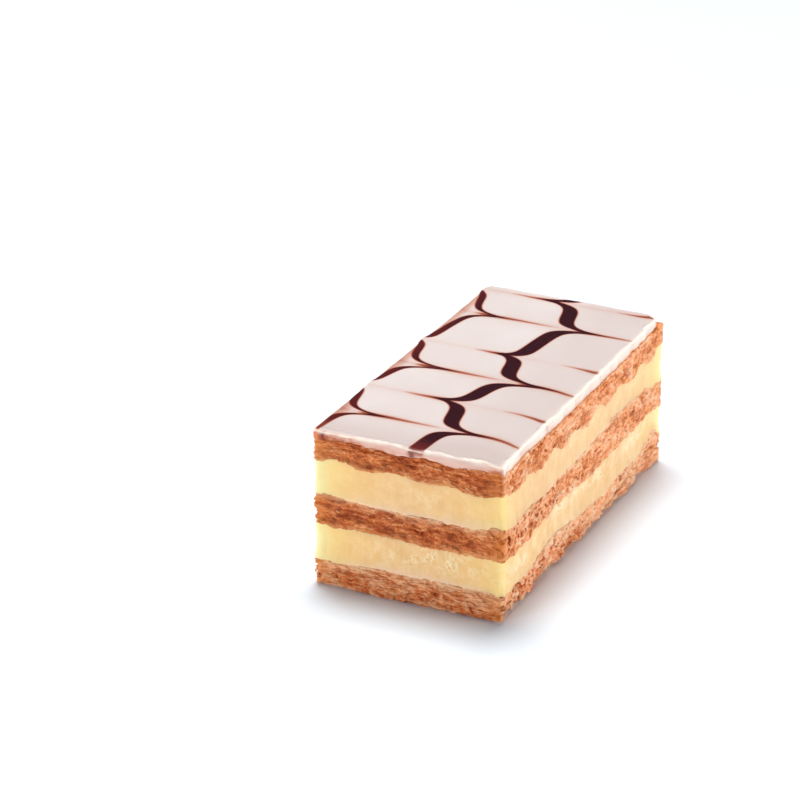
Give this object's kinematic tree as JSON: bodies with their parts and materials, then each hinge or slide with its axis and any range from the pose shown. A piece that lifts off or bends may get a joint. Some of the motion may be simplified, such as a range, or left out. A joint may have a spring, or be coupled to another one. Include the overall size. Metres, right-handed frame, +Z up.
{
  "type": "mille feuille slice",
  "caption": "Rectangular slice of mille feuille: three sheets of puff pastry, two layers of custard cream between them, and white fondant on top feathered with chocolate.",
  "frame": {"origin": "centre of the slice's underside, on the surface that it stands on", "axes": "+Y along the slice's length, from the short cut end that faces forward; +X across its width; +Z up, through the layers"},
  "size_m": [0.05, 0.1, 0.041],
  "materials": {
    "pastry_bottom": "baked puff pastry, matte golden brown with darker leaf edges",
    "custard_lower": "set custard cream, soft satin pale yellow",
    "pastry_middle": "baked puff pastry, matte golden brown with darker leaf edges",
    "custard_upper": "set custard cream, soft satin pale yellow",
    "pastry_top": "baked puff pastry, matte golden brown with darker leaf edges",
    "fondant": "poured white fondant, smooth and glossy, with feathered dark chocolate lines flush in it"
  },
  "bodies": {
    "root": {"pastry_bottom": "pastry_bottom", "custard_lower": "custard_lower", "pastry_middle": "pastry_middle", "custard_upper": "custard_upper", "pastry_top": "pastry_top", "fondant": "fondant"}
  },
  "joints": []
}
